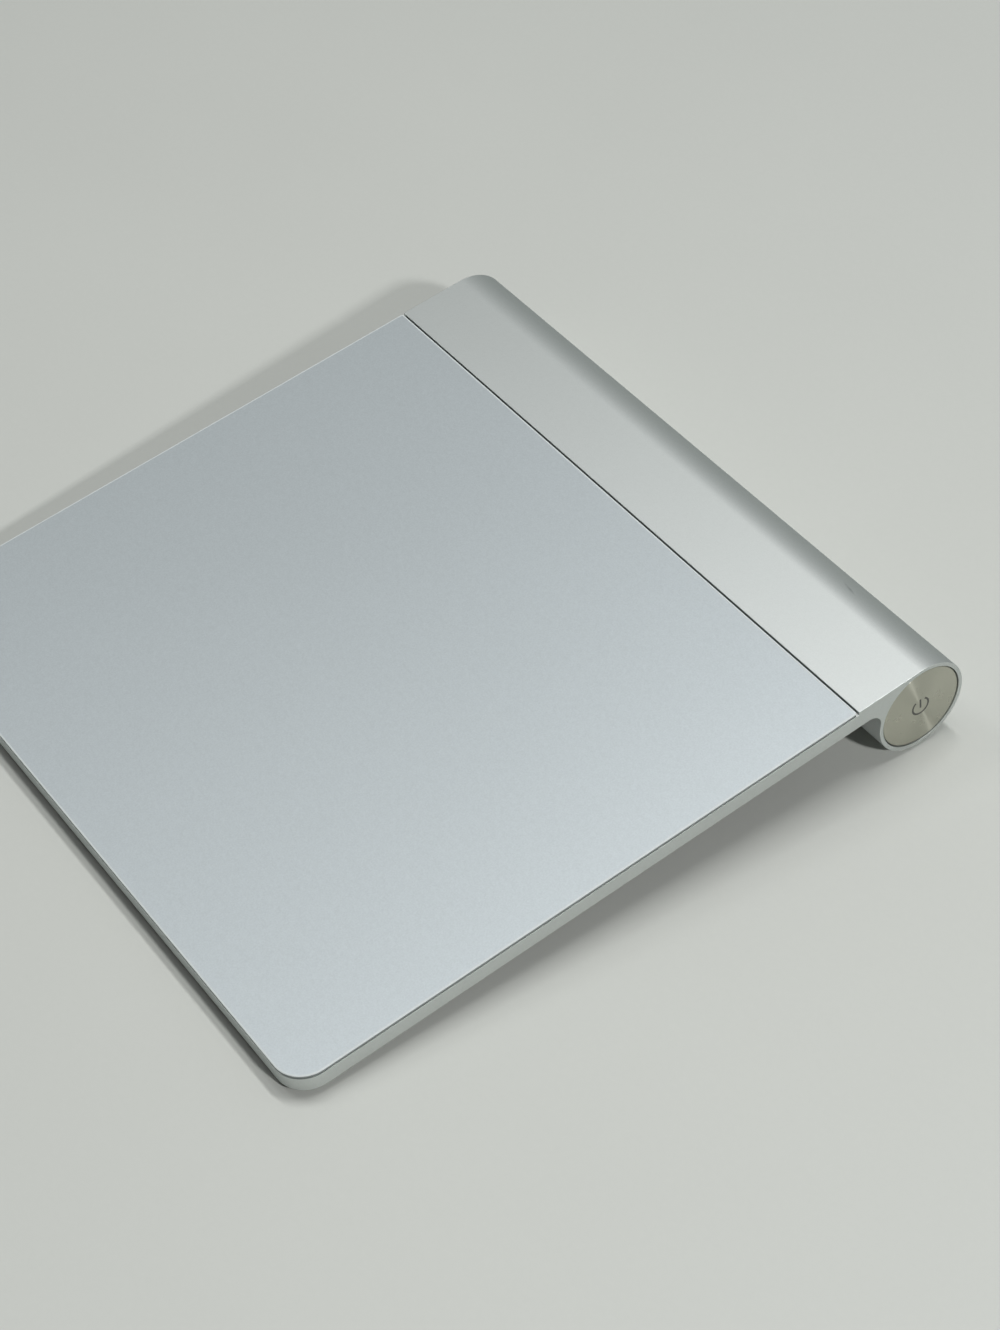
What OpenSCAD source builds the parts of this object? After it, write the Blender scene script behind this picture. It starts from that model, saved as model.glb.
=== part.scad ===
// Wireless touch trackpad: a sloped glass plate on an aluminium chassis, with a battery tube along the rear.
// Millimetres. X to the right, Y to the rear, Z up. Origin on the table, under the middle of the body.
// Pieces are drawn in the slope frame: X to the right, Y up the slope from the front edge, Z off the glass.

/* [Body] */
// Width of the body, left to right
body_w = 130; // [128:0.5:136]
// Slab thickness, from the glass face to the underside
slab_t = 3.65; // [3.5:0.05:4.5]
// Slope of the glass above the table, in degrees
tilt = 6.3; // [5.5:0.1:7]
// Plan radius of the two front corners
corner_r = 5.5; // [4:0.1:8]
// Rear deck, from the seam to the tube axis
deck_run = 12.9; // [12:0.1:16]
// Outside diameter of the battery tube
tube_d = 17.7; // [17.6:0.1:19]
// Wall of the battery tube
tube_wall = 0.75; // [0.6:0.05:0.8]
// Fillet between the underside and the tube
armpit_r = 2.5; // [1.5:0.1:3.5]

/* [Touch glass] */
// Glass length, from the front edge to the seam
glass_run = 109.2; // [104:0.1:116]
// Glass thickness
glass_t = 0.55; // [0.45:0.05:0.7]
// Set-back of the glass edge from the chassis side
glass_inset = 0.06; // [0.04:0.02:0.4]
// Radius of the two rear glass corners
glass_rear_r = 0.5; // [0.2:0.1:2]
// Gap between the glass and the rear deck
seam_gap = 0.3; // [0.2:0.05:0.6]
// Thickness of the black bond under the glass edge
bond_t = 0.1; // [0.05:0.05:0.2]
// Set-back of the bond from the chassis side
bond_inset = 0.45; // [0.3:0.05:0.8]
// Sensor board bonded to the back of the glass
sensor_t = 0.6; // [0.4:0.05:0.7]
// Gap between the sensor board and the frame window
sensor_gap = 0.3; // [0.2:0.05:1]

/* [Frame] */
// Side wall round the inner pocket
wall_w = 3; // [2.6:0.1:3.4]
// Aluminium rim left round the bottom cover
rim_w = 1.4; // [1:0.1:1.8]
// Reach of the glass ledge, from the chassis side
ledge_w = 7; // [6.4:0.1:8]
// Thickness of the glass ledge
ledge_t = 0.7; // [0.6:0.05:0.9]
// Set-back of the pocket's rear wall from the seam
pocket_rear_gap = 2.2; // [2:0.1:4]
// Inner corner radius of the pockets
pocket_r = 2.5; // [1.5:0.1:4]

/* [Bottom cover] */
// Thickness of the plastic bottom cover
cover_t = 0.6; // [0.5:0.05:0.7]
// Gap round the bottom cover
cover_gap = 0.1; // [0.05:0.05:0.2]
// Thickness of the tape that holds the cover
tape_t = 0.1; // [0.05:0.05:0.15]

/* [Click bar] */
// Pivot axis, from the front edge
pivot_run = 46; // [40:0.5:54]
// Plate thickness of the click bar
bar_t = 0.6; // [0.5:0.05:0.7]
// Front-to-rear width of the cross piece
bar_depth = 10.8; // [9:0.1:14]
// Gap between the cross piece and the ledge edge
bar_clear = 0.6; // [0.4:0.1:1]
// Set-in of each arm from its foot
arm_set = 18; // [14:0.5:24]
// Width of each arm
arm_w = 8; // [6:0.5:10]
// Outside diameter of the arm knuckles and bracket ears
knuckle_d = 1.4; // [1.3:0.05:1.5]
// Pivot pin diameter
pin_d = 0.8; // [0.6:0.05:0.9]
// Running clearance round a pivot pin
pin_gap = 0.03; // [0.02:0.01:0.06]
// Press clearance round a pin in the bracket
press_gap = 0.01; // [0.005:0.005:0.02]
// Thickness of each bracket ear
ear_t = 2.2; // [1.6:0.1:3]
// Gap between an ear and a knuckle
ear_gap = 0.3; // [0.2:0.05:0.5]
// Distance from the pivot axis to the rail
rail_gap = 2; // [1.4:0.1:3]
// Front-to-rear width of the pivot rail
rail_w = 6; // [5:0.1:8]
// Thickness of the pivot rail
rail_t = 1; // [0.8:0.05:1.1]
// End gap of the rail and the logic board in the pocket
end_gap = 0.4; // [0.2:0.1:0.6]

/* [Click switch] */
// Switch middle, from the front edge
switch_run = 20; // [19:0.5:24]
// Side of the square switch base
switch_w = 5; // [4:0.1:6]
// Thickness of the switch base
switch_t = 0.25; // [0.2:0.05:0.3]
// Diameter of the switch dome at its base
dome_d = 4; // [3:0.1:4]
// Diameter of the switch dome at its tip
dome_tip_d = 2; // [1:0.1:2.4]
// Diameter of the adjusting screw
adjuster_d = 2; // [1.6:0.1:2.4]
// Drop of the adjusting screw below the bar
adjuster_drop = 0.2; // [0.1:0.05:0.25]
// Width of the bar's tongue under the switch
tongue_w = 12; // [9:0.5:16]
// Reach of the tongue behind the switch middle
tongue_over = 4; // [3:0.5:6]

/* [Feet] */
// Front foot middle, from the front edge
foot_front = 12; // [11:0.1:14]
// Front foot middle, from the body's side
foot_side = 15; // [13:0.1:20]
// Diameter of a front foot
foot_d = 11.4; // [9:0.1:12]
// Diameter of the flange that keeps a front foot in
foot_flange_d = 14; // [13:0.1:15]
// Gap between a front foot and its hole in the cover
foot_gap = 0.4; // [0.3:0.05:0.6]
// Diameter of the plug that pins a foot to the bar
foot_plug_d = 3; // [2:0.1:4]
// Height of the rear foot strip below the tube
rear_foot_proud = 0.5; // [0.4:0.05:1]
// Width of the rear foot strip
rear_foot_w = 7; // [5:0.1:9]
// Set-in of the rear foot strip from the tube ends
rear_foot_inset = 9; // [6:0.5:25]

/* [Logic board] */
// Board thickness
board_t = 0.6; // [0.5:0.05:0.7]
// Board depth, front to rear
board_run = 25.6; // [24:0.1:28]
// Set-back of the parts from the board's front
parts_run = 8; // [7:0.1:9]
// Height of the chips
chip_t = 0.75; // [0.6:0.05:0.9]
// Side of the touch chip
touch_chip_w = 8; // [6:0.1:9]
// Touch chip middle, from the board's right end
touch_chip_x = 41.6; // [38:0.1:44]
// Side of the radio chip
radio_chip_w = 7; // [5:0.1:8]
// Radio chip middle, from the board's left end
radio_chip_x = 58; // [52:0.1:59]
// Side of the power chip
power_chip_w = 6; // [4:0.1:7]
// Power chip middle, from the board's right end
power_chip_x = 29.6; // [28:0.1:31]
// Height of the radio can
can_t = 0.85; // [0.7:0.05:0.9]
// Width of the radio can
can_w = 16; // [12:0.1:18]
// Depth of the radio can
can_run = 12; // [10:0.1:14]
// Radio can middle, from the board's left end
can_x = 37.6; // [34:0.1:40]
// Side of the power coil
coil_box_w = 5; // [4:0.1:6]
// Diameter of the power coil's core
core_d = 3; // [2:0.1:3.5]
// Power coil middle, from the board's right end
coil_box_x = 19.6; // [18:0.1:21]
// Width of the antenna block
antenna_w = 9; // [7:0.1:10]
// Depth of the antenna block
antenna_run = 3; // [2:0.1:4]
// Antenna middle, from the board's left end
antenna_x = 17.6; // [14:0.1:20]
// Width of the ribbon connectors
connector_w = 20; // [16:0.5:24]
// Depth of the ribbon connectors
connector_run = 3.5; // [3:0.1:4]
// Height of the ribbon connectors
connector_t = 0.7; // [0.6:0.05:0.8]
// Thickness of the flat ribbons
ribbon_t = 0.12; // [0.1:0.01:0.2]
// Width of the sensor ribbon
ribbon_w = 18; // [12:0.5:19]
// Run of the sensor ribbon between its connectors
ribbon_run = 12; // [10:0.5:14]
// Width of the power ribbon
power_ribbon_w = 6; // [4:0.1:7]
// Clear height and width round the power ribbon in its slot
slot_gap = 0.4; // [0.3:0.05:0.5]
// Shank diameter of the small screws
screw_d = 1.2; // [1:0.05:1.4]
// Head diameter of the small screws
screw_head_d = 2.2; // [1.8:0.1:2.6]
// Head height of the small screws
screw_head_t = 0.4; // [0.3:0.05:0.5]
// Depth that a screw reaches into the ledge
screw_bite = 0.45; // [0.3:0.05:0.5]
// Key width of the screw sockets
key_w = 0.9; // [0.7:0.05:1]

/* [Batteries] */
// Wall of the insulating sleeve round the cells
sleeve_wall = 0.78; // [0.6:0.02:1]
// Nub diameter
nub_d = 5.5; // [4.5:0.1:5.5]
// Nub length
nub_len = 1; // [1:0.1:1.5]
// Clearance round a cell in the sleeve
cell_gap = 0.2; // [0.1:0.05:0.25]
// Clearance of the parts bonded in the tube
bore_gap = 0.02; // [0.01:0.01:0.05]
// Gap between two parts that just meet
touch_gap = 0.02; // [0.01:0.01:0.05]

/* [Power button] */
// Gap round the button in the tube mouth
button_gap = 0.15; // [0.1:0.01:0.25]
// Depth of the button face inside the tube end
button_recess = 0.15; // [0:0.05:0.4]
// Thickness of the button cap
button_t = 1.6; // [1.2:0.1:2]
// Space behind the cap for its press
button_room = 0.85; // [0.6:0.05:1.2]
// Diameter of the button stem
stem_d = 4; // [3:0.1:5]
// Clearance round the stem in the collar
stem_gap = 0.08; // [0.04:0.01:0.1]
// Length of the collar that guides the stem
collar_len = 2.2; // [1.6:0.1:3]
// Thickness of the clip behind the collar
clip_t = 0.4; // [0.3:0.05:0.6]
// Outside diameter of the clip
clip_d = 7.2; // [6:0.1:9]
// Depth of the clip groove in the stem
clip_groove = 0.4; // [0.3:0.05:0.6]
// Length of the stem behind the clip
stem_tail = 0.6; // [0.5:0.05:1]
// Height of the power switch dome
power_dome_h = 0.9; // [0.7:0.05:1.2]
// Diameter of the power switch dome
power_dome_d = 5; // [4:0.1:6]
// Thickness of the power switch board
power_board_t = 0.8; // [0.6:0.05:1]
// Gap round the power switch board
power_board_gap = 0.3; // [0.2:0.05:0.8]
// Length of the contact plug
plug_len = 10; // [8:0.1:12]
// Diameter of the positive contact
contact_d = 6; // [4:0.1:8]
// Thickness of the positive contact
contact_t = 0.6; // [0.4:0.05:1]

/* [Battery door] */
// Gap round the door in the tube mouth
door_gap = 0.15; // [0.1:0.01:0.25]
// Depth of the door face inside the tube end
door_recess = 0.1; // [0:0.05:0.4]
// Thickness of the door's head
door_head_t = 1.5; // [1.3:0.1:2]
// Length of the door's threaded skirt
skirt_len = 4.2; // [4:0.1:5]
// Wall of the threaded skirt
skirt_wall = 0.8; // [0.7:0.05:1]
// Thread pitch
pitch = 1.25; // [1.2:0.05:1.3]
// Turns of the door thread
thread_turns = 2; // [1.5:0.25:2]
// Height of the thread ridge
thread_h = 0.4; // [0.35:0.01:0.42]
// Width of the ridge at its root
thread_root_w = 0.7; // [0.6:0.05:0.75]
// Width of the ridge at its tip
thread_tip_w = 0.35; // [0.3:0.05:0.4]
// Clearance between the two threads
thread_gap = 0.1; // [0.08:0.01:0.12]
// Length of the threaded ring in the tube
ring_len = 7; // [6.5:0.1:8]
// Width of the coin slot
coin_w = 1.6; // [1.2:0.1:2]
// Length of the coin slot
coin_len = 11; // [9:0.1:13]
// Depth of the coin slot
coin_depth = 0.8; // [0.6:0.1:1]
// Thickness of the disc that the spring sits on
seat_t = 0.8; // [0.6:0.05:1]
// Running gap round that disc
seat_gap = 0.1; // [0.05:0.01:0.15]
// Height and reach of the lip that keeps the disc in
lip_w = 0.4; // [0.3:0.05:0.5]
// Space between the skirt and the first cell
spring_room = 5.02; // [4.5:0.01:6]
// Wire of the negative spring
wire_d = 0.7; // [0.5:0.05:0.9]
// Clearance between the first coil and the lip
coil_gap = 0.65; // [0.3:0.05:1]
// Coil radius at the cell
coil_tip_r = 2.6; // [2:0.1:3.4]
// Turns of the spring
coil_turns = 4; // [3:0.5:5]

/* [Hidden] */
$fn = 96;
half_w = body_w / 2;
tube_r = tube_d / 2;
bore_r = tube_r - tube_wall;
tube_run = glass_run + seam_gap + deck_run;
// Past any outer face, for cuts
over = 1;
// Thinnest roof left over a blind screw hole
hole_slack = 0.05;

// Levels below the glass face
z_glass = -glass_t;
z_frame = z_glass - bond_t;
z_sensor = z_glass - sensor_t;
z_ledge = z_frame - ledge_t;
z_cover = cover_t - slab_t;
z_tape = z_cover + tape_t;
z_pivot = (z_sensor + z_cover) / 2;
z_bar_top = z_pivot + bar_t / 2;
z_bar_low = z_pivot - bar_t / 2;
z_rail = z_ledge - rail_t;
z_board = z_ledge - board_t;
z_switch = z_sensor - switch_t;
z_power_ribbon = z_board - connector_t / 2;

// Runs up the slope
pocket_rear = glass_run - pocket_rear_gap;
ledge_reach = ledge_w - wall_w;
window_rear = pocket_rear - ledge_reach;
cover_rear = pocket_rear + wall_w - rim_w;
bar_front = ledge_w + bar_clear;
bar_rear = bar_front + bar_depth;
rail_front = pivot_run + rail_gap;
rail_mid = rail_front + rail_w / 2;
board_rear = pocket_rear - end_gap;
board_front = board_rear - board_run;
board_plug_run = board_front + connector_run;
sensor_plug_run = board_plug_run - ribbon_run - connector_run;
power_plug_run = window_rear - end_gap;
armpit_run = tube_run - sqrt(pow(tube_r + armpit_r, 2) - pow(tube_r - slab_t - armpit_r, 2));
armpit_turn = atan2(slab_t + armpit_r - tube_r, tube_run - armpit_run);

// Places across the body
ledge_x = half_w - wall_w - ledge_reach / 2;
foot_x = half_w - foot_side;
arm_x = foot_x - arm_set;
board_half = half_w - wall_w - end_gap;

// Stations along the tube, from its right mouth
cap_face = half_w - button_recess;
cap_back = cap_face - button_t;
collar_out = cap_back - button_room;
collar_in = collar_out - collar_len;
clip_out = collar_in - touch_gap;
clip_in = clip_out - clip_t;
stem_end = clip_in - stem_tail;
power_board_out = stem_end - touch_gap - power_dome_h;
power_board_in = power_board_out - power_board_t;

// Stations along the tube, from its left mouth
door_face = door_recess - half_w;
door_back = door_face + door_head_t;
ring_out = door_back + touch_gap;
ring_in = ring_out + ring_len;
skirt_end = door_back + skirt_len;
seat_out = door_back + touch_gap;
seat_in = seat_out + seat_t;
lip_start = seat_in + touch_gap;
plug_in = power_board_in - plug_len;
plug_mid = (plug_in + power_board_in) / 2;
contact_in = plug_in - contact_t;

// Two equal cells share the room between the spring and the contact
cells_start = skirt_end + spring_room;
cells_end = contact_in - touch_gap;
cell_len = (cells_end - cells_start - touch_gap) / 2;
cells_mid = cells_start + cell_len;

// Radii in the tube
sleeve_r = bore_r - bore_gap - sleeve_wall;
cell_r = sleeve_r - cell_gap;
ring_r = sleeve_r + touch_gap;
skirt_r = ring_r - thread_gap;
skirt_in_r = skirt_r - skirt_wall;
coil_r = skirt_in_r - lip_w - coil_gap - wire_d / 2;
ridge_r = skirt_r + thread_h;
groove_r = ridge_r + thread_gap;
thread_mid = door_back + skirt_len / 2;
thread_start = thread_mid - pitch * thread_turns / 2;
// Turns by which the ring's groove runs past the ridge, outward and inward
groove_out = (thread_start - ring_out + pitch) / pitch;
groove_in = 0.08;
// Steps in one turn of a thread or coil
turn_steps = 36;
coil_steps = 20;
wire_sides = 8;

// Place of the slope frame on the table
tube_z = tube_r + rear_foot_proud;
slope_z = tube_z - tube_run * sin(tilt) + tube_r * cos(tilt);
front_to_tube = tube_run * cos(tilt) + tube_r * sin(tilt) + tube_r;
frame_drop = -z_frame * sin(tilt);
slope_y = -(front_to_tube + frame_drop) / 2;
tube_y = slope_y + tube_run * cos(tilt) + tube_r * sin(tilt);

// Colours
aluminium_c = [0.80, 0.81, 0.80];
glass_c = [0.74, 0.77, 0.78];
bond_c = [0.06, 0.06, 0.06];
board_c = [0.10, 0.24, 0.17];
ribbon_c = [0.62, 0.36, 0.14];
plastic_c = [0.86, 0.86, 0.85];
dark_plastic_c = [0.13, 0.13, 0.14];
steel_c = [0.66, 0.67, 0.68];
gold_c = [0.78, 0.63, 0.30];
rubber_c = [0.70, 0.71, 0.71];
cell_c = [0.30, 0.32, 0.35];

// Helpers

// The slope frame, set on the table
module on_slope() {
    translate([0, slope_y, slope_z])
        rotate([tilt, 0, 0])
            children();
}

// The tube axis inside the slope frame, local Z to the right
module on_tube() {
    translate([0, tube_run, -tube_r])
        rotate([0, 90, 0])
            children();
}

// A round bar on the tube axis between two stations
module rod(from, to, r) {
    on_tube()
        translate([0, 0, from])
            cylinder(r = r, h = to - from);
}

// A section in (run, height), drawn along X
module along_x(len) {
    rotate([90, 0, 90])
        linear_extrude(height = len, center = true)
            children();
}

// A slab between two levels of the slope frame
module slab(low, top) {
    translate([0, 0, low])
        linear_extrude(height = top - low)
            children();
}

// A plan with rounded corners, symmetric about the middle
module plan(half, front, rear, front_r, rear_r) {
    difference() {
        translate([-half, front])
            square([2 * half, rear - front]);
        for (side = [-1, 1]) {
            plan_corner(side * half, front, -side, 1, front_r);
            plan_corner(side * half, rear, -side, -1, rear_r);
        }
    }
}

// What a round corner takes off a plan
module plan_corner(x, y, dx, dy, r) {
    translate([x + dx * r / 2, y + dy * r / 2])
        difference() {
            square(r, center = true);
            translate([dx * r / 2, dy * r / 2])
                circle(r = r);
        }
}

// A small screw, head down, its grip starting at zero
module screw(grip) {
    difference() {
        union() {
            translate([0, 0, -screw_head_t])
                cylinder(d = screw_head_d, h = screw_head_t);
            cylinder(d = screw_d, h = grip + screw_bite);
        }
        translate([0, 0, -screw_head_t - over])
            cylinder(d = key_w, h = over + screw_head_t / 2, $fn = 6);
    }
}

// Puts a child at each board screw
module at_board_screws() {
    for (side = [-1, 1])
        translate([side * ledge_x, board_front + ledge_reach, z_board])
            children();
    for (place = [-1, 0, 1])
        translate([place * arm_x, pocket_rear - ledge_reach / 2, z_board])
            children();
}

// Puts a child at each rail screw
module at_rail_screws() {
    for (side = [-1, 1], row = [-1, 1])
        translate([side * ledge_x, rail_mid + row * rail_w / 4, z_rail])
            children();
}

// Puts a child at each front foot
module at_feet() {
    for (side = [-1, 1])
        translate([side * foot_x, foot_front, 0])
            children();
}

// A helical ridge on the tube axis, from a start station
module helix(start, from_turn, to_turn, low_r, top_r, low_w, top_w) {
    count = ceil((to_turn - from_turn) * turn_steps);
    step = (to_turn - from_turn) / count;
    points = [
        for (i = [0 : count])
            let (turn = from_turn + i * step, mid = start + pitch * turn)
            for (corner = [[low_r, -low_w], [top_r, -top_w], [top_r, top_w], [low_r, low_w]])
                [corner[0] * cos(360 * turn), corner[0] * sin(360 * turn), mid + corner[1] / 2]
    ];
    faces = concat(
        [[3, 2, 1, 0]],
        [for (i = [0 : count - 1], k = [0 : 3])
            let (a = 4 * i + k, b = 4 * i + (k + 1) % 4)
            each [[a, b, b + 4], [a, b + 4, a + 4]]],
        [[for (k = [0 : 3]) 4 * count + k]]
    );
    on_tube()
        polyhedron(points = points, faces = faces);
}

// Chassis and touch stack

// Cross section of the slab, the armpit and the tube
module chassis_section() {
    union() {
        translate([0, -slab_t])
            square([tube_run, slab_t]);
        translate([tube_run, -tube_r])
            circle(r = tube_r);
        difference() {
            polygon([
                [armpit_run, -slab_t],
                [armpit_run + armpit_r * cos(armpit_turn), armpit_r * (sin(armpit_turn) - 1) - slab_t],
                [tube_run, -tube_r],
                [tube_run, -slab_t]
            ]);
            translate([armpit_run, -slab_t - armpit_r])
                circle(r = armpit_r);
        }
    }
}

module corner_trim(side) {
    translate([side * (half_w - corner_r), corner_r, -slab_t - over])
        difference() {
            translate([side * (corner_r + over) / 2, -(corner_r + over) / 2, slab_t / 2 + over])
                cube([corner_r + over, corner_r + over, slab_t + 2 * over], center = true);
            translate([0, 0, -over])
                cylinder(r = corner_r, h = slab_t + 4 * over);
        }
}

module aluminium_chassis() {
    color(aluminium_c)
        on_slope()
            difference() {
                along_x(body_w)
                    chassis_section();
                for (side = [-1, 1])
                    corner_trim(side);
                translate([-half_w - over, -over, z_frame])
                    cube([body_w + 2 * over, glass_run + seam_gap + over, over - z_frame]);
                slab(z_ledge - over, z_frame + over)
                    plan(half_w - ledge_w, ledge_w, window_rear, pocket_r, pocket_r);
                slab(z_tape - over, z_ledge)
                    plan(half_w - wall_w, wall_w, pocket_rear, pocket_r, pocket_r);
                slab(-slab_t - over, z_tape)
                    plan(half_w - rim_w, rim_w, cover_rear, corner_r - rim_w, pocket_r);
                rod(-half_w - over, half_w + over, bore_r);
                power_slot();
                at_board_screws()
                    cylinder(d = screw_d + 2 * touch_gap, h = board_t + screw_bite + hole_slack);
                at_rail_screws()
                    cylinder(d = screw_d + 2 * touch_gap, h = rail_t + screw_bite + hole_slack);
            }
}

// Way for the power ribbon, from the pocket into the tube
module power_slot() {
    slot_w = power_ribbon_w + 2 * slot_gap;
    slot_h = ribbon_t + 2 * slot_gap;
    translate([plug_mid - slot_w / 2, pocket_rear - over, z_power_ribbon - slot_h / 2])
        cube([slot_w, tube_run - tube_r / 3 - pocket_rear + over, slot_h]);
}

module touch_glass() {
    color(glass_c)
        on_slope()
            slab(z_glass, 0)
                plan(half_w - glass_inset, glass_inset, glass_run, corner_r - glass_inset, glass_rear_r);
}

module glass_bond() {
    color(bond_c)
        on_slope()
            slab(z_frame, z_glass)
                difference() {
                    plan(half_w - bond_inset, bond_inset, glass_run + seam_gap, corner_r - bond_inset,
                        glass_rear_r);
                    plan(half_w - ledge_w, ledge_w, window_rear, pocket_r, pocket_r);
                }
}

module touch_sensor_board() {
    color(board_c)
        on_slope()
            slab(z_sensor, z_glass)
                plan(half_w - ledge_w - sensor_gap, ledge_w + sensor_gap, window_rear - sensor_gap,
                    pocket_r, pocket_r);
}

// Electronics in the pocket

module logic_board() {
    color(board_c)
        on_slope()
            difference() {
                slab(z_board, z_ledge)
                    plan(board_half, board_front, board_rear, pocket_r, pocket_r);
                at_board_screws()
                    translate([0, 0, -over])
                        cylinder(d = screw_d + 2 * touch_gap, h = board_t + 2 * over);
            }
}

// A box under the board: middle across, size
module under_board(x, size) {
    translate([x - size[0] / 2, board_front + parts_run, z_board - size[2]])
        cube(size);
}

module radio_can() {
    color(steel_c)
        on_slope()
            under_board(can_x - board_half, [can_w, can_run, can_t]);
}

module board_chips() {
    color(dark_plastic_c)
        on_slope() {
            under_board(board_half - touch_chip_x, [touch_chip_w, touch_chip_w, chip_t]);
            under_board(board_half - power_chip_x, [power_chip_w, power_chip_w, chip_t]);
            under_board(radio_chip_x - board_half, [radio_chip_w, radio_chip_w, chip_t]);
        }
}

module power_coil() {
    mid = board_half - coil_box_x;
    color(dark_plastic_c)
        on_slope()
            difference() {
                under_board(mid, [coil_box_w, coil_box_w, can_t]);
                translate([mid, board_front + parts_run + coil_box_w / 2, z_board - can_t - over])
                    cylinder(d = core_d, h = over + can_t / 4);
            }
}

module radio_antenna() {
    color(plastic_c)
        on_slope()
            under_board(antenna_x - board_half, [antenna_w, antenna_run, chip_t]);
}

// Sensor, board and power connectors
module ribbon_connectors() {
    color(dark_plastic_c)
        on_slope() {
            translate([-connector_w / 2, sensor_plug_run - connector_run, z_sensor - connector_t])
                cube([connector_w, connector_run, connector_t]);
            translate([-connector_w / 2, board_plug_run, z_board - connector_t])
                cube([connector_w, connector_run, connector_t]);
            translate([plug_mid - power_ribbon_w / 2, power_plug_run - connector_run, z_board - connector_t])
                cube([power_ribbon_w, connector_run, connector_t]);
        }
}

module sensor_ribbon() {
    high = z_sensor - connector_t / 2;
    low = z_board - connector_t / 2;
    bend = [
        [sensor_plug_run, high],
        [sensor_plug_run + ribbon_run / 4, high],
        [board_plug_run - connector_run, low],
        [board_plug_run, low]
    ];
    color(ribbon_c)
        on_slope()
            along_x(ribbon_w)
                polygon(concat(
                    [for (p = bend) [p[0], p[1] + ribbon_t / 2]],
                    [for (i = [len(bend) - 1 : -1 : 0]) [bend[i][0], bend[i][1] - ribbon_t / 2]]
                ));
}

module board_screws() {
    color(steel_c)
        on_slope()
            at_board_screws()
                screw(board_t);
}

// Click mechanism

module pivot_rail() {
    color(aluminium_c)
        on_slope()
            difference() {
                union() {
                    translate([-board_half, rail_front, z_rail])
                        cube([2 * board_half, rail_w, rail_t]);
                    for (side = [-1, 1], ear = [-1, 1])
                        translate([side * arm_x + ear * (arm_w / 2 + ear_gap + ear_t / 2), 0, 0])
                            pivot_ear();
                }
                translate([0, pivot_run, z_pivot])
                    rotate([0, 90, 0])
                        cylinder(d = pin_d + 2 * press_gap, h = body_w, center = true);
                at_rail_screws()
                    translate([0, 0, -over])
                        cylinder(d = screw_d + 2 * touch_gap, h = rail_t + 2 * over);
            }
}

// One ear, from the pivot back into the rail
module pivot_ear() {
    translate([0, pivot_run, z_pivot])
        rotate([0, 90, 0])
            cylinder(d = knuckle_d, h = ear_t, center = true);
    translate([-ear_t / 2, pivot_run, z_rail])
        cube([ear_t, rail_gap + rail_w / 2, z_pivot + knuckle_d / 2 - z_rail - hole_slack]);
}

module rail_screws() {
    color(steel_c)
        on_slope()
            at_rail_screws()
                screw(rail_t);
}

module pivot_pins() {
    color(steel_c)
        on_slope()
            for (side = [-1, 1])
                translate([side * arm_x, pivot_run, z_pivot])
                    rotate([0, 90, 0])
                        cylinder(d = pin_d, h = arm_w + 2 * (ear_gap + ear_t), center = true);
}

module click_bar() {
    bar_half = half_w - ledge_w - bar_clear;
    color(steel_c)
        on_slope()
            difference() {
                union() {
                    slab(z_bar_low, z_bar_top) {
                        plan(bar_half, bar_front, bar_rear, pocket_r, pocket_r);
                        translate([-tongue_w / 2, bar_front])
                            square([tongue_w, switch_run + tongue_over - bar_front]);
                        for (side = [-1, 1])
                            translate([side * arm_x - arm_w / 2, bar_front])
                                square([arm_w, pivot_run - bar_front]);
                    }
                    for (side = [-1, 1])
                        translate([side * arm_x, pivot_run, z_pivot])
                            rotate([0, 90, 0])
                                cylinder(d = knuckle_d, h = arm_w, center = true);
                }
                translate([0, pivot_run, z_pivot])
                    rotate([0, 90, 0])
                        cylinder(d = pin_d + 2 * pin_gap, h = body_w, center = true);
                at_feet()
                    translate([0, 0, z_bar_low - over])
                        cylinder(d = foot_plug_d + 2 * touch_gap, h = bar_t + 2 * over);
                translate([0, switch_run, z_bar_low - over])
                    cylinder(d = adjuster_d + 2 * touch_gap, h = bar_t + 2 * over);
            }
}

module click_adjuster() {
    color(gold_c)
        on_slope()
            translate([0, switch_run, z_bar_low - adjuster_drop])
                difference() {
                    cylinder(d = adjuster_d, h = bar_t + adjuster_drop);
                    translate([0, 0, -over])
                        cylinder(d = key_w, h = over + bar_t / 2, $fn = 6);
                }
}

module click_switch() {
    color(dark_plastic_c)
        on_slope()
            translate([-switch_w / 2, switch_run - switch_w / 2, z_switch])
                cube([switch_w, switch_w, switch_t]);
}

module click_dome() {
    dome_h = z_switch - z_bar_top - touch_gap;
    color(steel_c)
        on_slope()
            translate([0, switch_run, z_switch - dome_h])
                cylinder(d1 = dome_tip_d, d2 = dome_d, h = dome_h);
}

// Bottom cover and feet

module bottom_cover() {
    gap = rim_w + cover_gap;
    color(plastic_c)
        on_slope()
            difference() {
                slab(-slab_t, z_cover)
                    plan(half_w - gap, gap, cover_rear - cover_gap, corner_r - gap, pocket_r - cover_gap);
                at_feet()
                    translate([0, 0, -slab_t - over])
                        cylinder(d = foot_d + 2 * foot_gap, h = cover_t + 2 * over);
            }
}

module cover_tape() {
    gap = rim_w + cover_gap;
    color(dark_plastic_c)
        on_slope()
            slab(z_cover, z_tape)
                difference() {
                    plan(half_w - gap, gap, cover_rear - cover_gap, corner_r - gap, pocket_r - cover_gap);
                    plan(half_w - wall_w, wall_w, pocket_rear, pocket_r, pocket_r);
                }
}

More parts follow.
